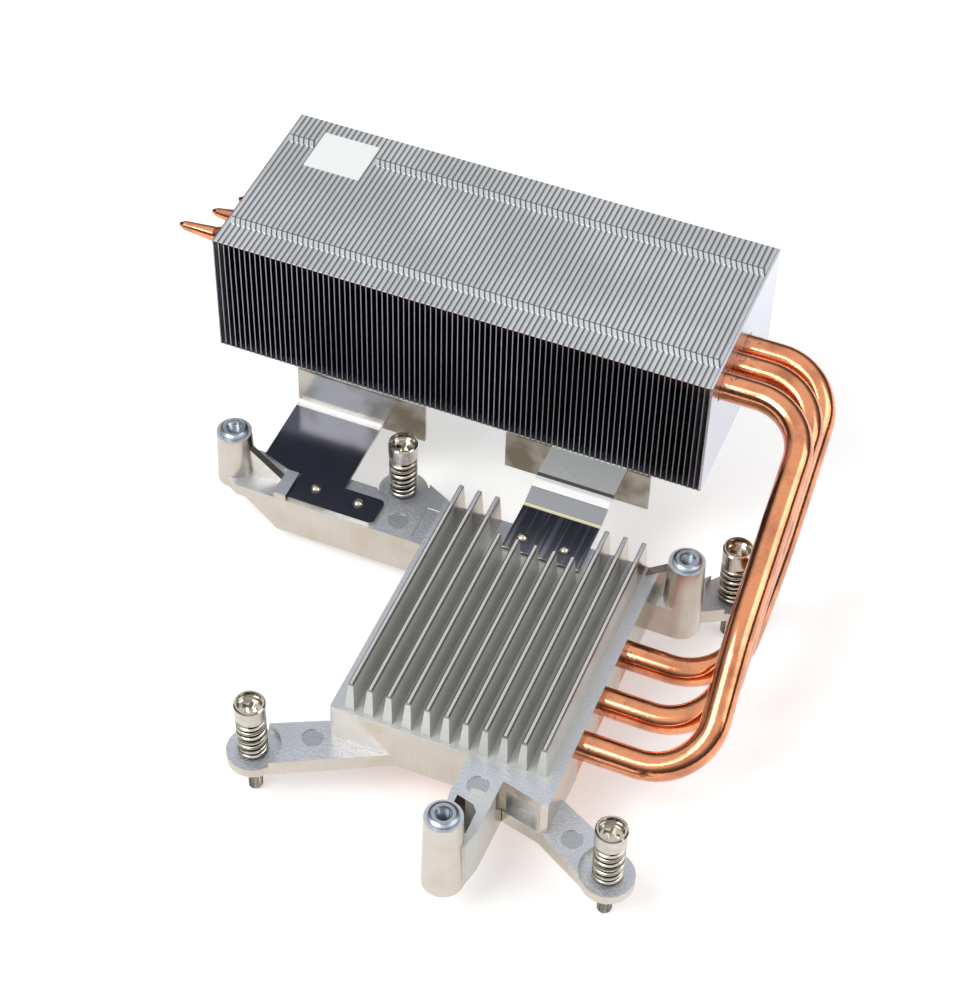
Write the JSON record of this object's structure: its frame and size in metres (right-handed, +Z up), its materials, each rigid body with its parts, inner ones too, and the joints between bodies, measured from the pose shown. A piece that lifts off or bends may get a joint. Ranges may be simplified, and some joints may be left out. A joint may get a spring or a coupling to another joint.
{
  "type": "cpu heatsink",
  "caption": "Low-profile CPU cooler: die-cast finned base on a copper plate, heat pipes rising to a remote block of sheet fins on two brackets, with spring-loaded captive screws.",
  "frame": {"origin": "middle of the copper contact face, level with it, centred between the four captive screws", "axes": "+X along the fin block towards the pipe bends, +Y from the base towards the fin block, +Z up from the contact face"},
  "size_m": [0.1493, 0.149, 0.0566],
  "materials": {
    "cast_aluminium": "die cast, finely grained, drafted walls",
    "plate_copper": "milled copper",
    "pipe_copper": "polished copper",
    "fin_aluminium": "plain stamped sheet",
    "bracket_steel": "bright plated sheet",
    "rivet_steel": "bright plated",
    "label_paper": "smooth blank label",
    "insert_steel": "blue-white zinc",
    "screw_nickel": "nickel plated",
    "spring_steel": "nickel plated wire",
    "ring_steel": "spring steel sheet"
  },
  "bodies": {
    "heatsink": {"base_casting": "cast_aluminium", "cold_plate": "plate_copper", "heat_pipe_front": "pipe_copper", "heat_pipe_middle": "pipe_copper", "heat_pipe_back": "pipe_copper", "cooling_fins": "fin_aluminium", "end_plate": "fin_aluminium", "left_bracket": "bracket_steel", "right_bracket": "bracket_steel", "right_support": "bracket_steel", "left_bracket_rivets": "rivet_steel", "right_bracket_rivets": "rivet_steel", "label": "label_paper", "threaded_insert_left": "insert_steel", "threaded_insert_front": "insert_steel", "threaded_insert_right": "insert_steel", "spring_front_left": "spring_steel", "spring_front_right": "spring_steel", "spring_back_left": "spring_steel", "spring_back_right": "spring_steel"},
    "ring_front_left": {"retaining_ring_front_left": "ring_steel"},
    "screw_front_left": {"captive_screw_front_left": "screw_nickel"},
    "ring_front_right": {"retaining_ring_front_right": "ring_steel"},
    "screw_front_right": {"captive_screw_front_right": "screw_nickel"},
    "ring_back_left": {"retaining_ring_back_left": "ring_steel"},
    "screw_back_left": {"captive_screw_back_left": "screw_nickel"},
    "ring_back_right": {"retaining_ring_back_right": "ring_steel"},
    "screw_back_right": {"captive_screw_back_right": "screw_nickel"}
  },
  "joints": [
    {"name": "front_left_screw_slide", "type": "slide", "parent": "heatsink", "child": "ring_front_left", "axis": [0, 0, 1], "range_m": [-0.004, 0], "stiffness_N_per_m": 1500, "springref_m": 0.0006, "deforming": ["spring_front_left"]},
    {"name": "front_left_screw_turn", "type": "hinge", "parent": "ring_front_left", "child": "screw_front_left", "pos_m": [-0.0375, -0.0375, 0], "axis": [0, 0, 1], "continuous": true},
    {"name": "front_right_screw_slide", "type": "slide", "parent": "heatsink", "child": "ring_front_right", "axis": [0, 0, 1], "range_m": [-0.004, 0], "stiffness_N_per_m": 1500, "springref_m": 0.0006, "deforming": ["spring_front_right"]},
    {"name": "front_right_screw_turn", "type": "hinge", "parent": "ring_front_right", "child": "screw_front_right", "pos_m": [0.0375, -0.0375, 0], "axis": [0, 0, 1], "continuous": true},
    {"name": "back_left_screw_slide", "type": "slide", "parent": "heatsink", "child": "ring_back_left", "axis": [0, 0, 1], "range_m": [-0.004, 0], "stiffness_N_per_m": 1500, "springref_m": 0.0006, "deforming": ["spring_back_left"]},
    {"name": "back_left_screw_turn", "type": "hinge", "parent": "ring_back_left", "child": "screw_back_left", "pos_m": [-0.0375, 0.0375, 0], "axis": [0, 0, 1], "continuous": true},
    {"name": "back_right_screw_slide", "type": "slide", "parent": "heatsink", "child": "ring_back_right", "axis": [0, 0, 1], "range_m": [-0.004, 0], "stiffness_N_per_m": 1500, "springref_m": 0.0006, "deforming": ["spring_back_right"]},
    {"name": "back_right_screw_turn", "type": "hinge", "parent": "ring_back_right", "child": "screw_back_right", "pos_m": [0.0375, 0.0375, 0], "axis": [0, 0, 1], "continuous": true}
  ]
}
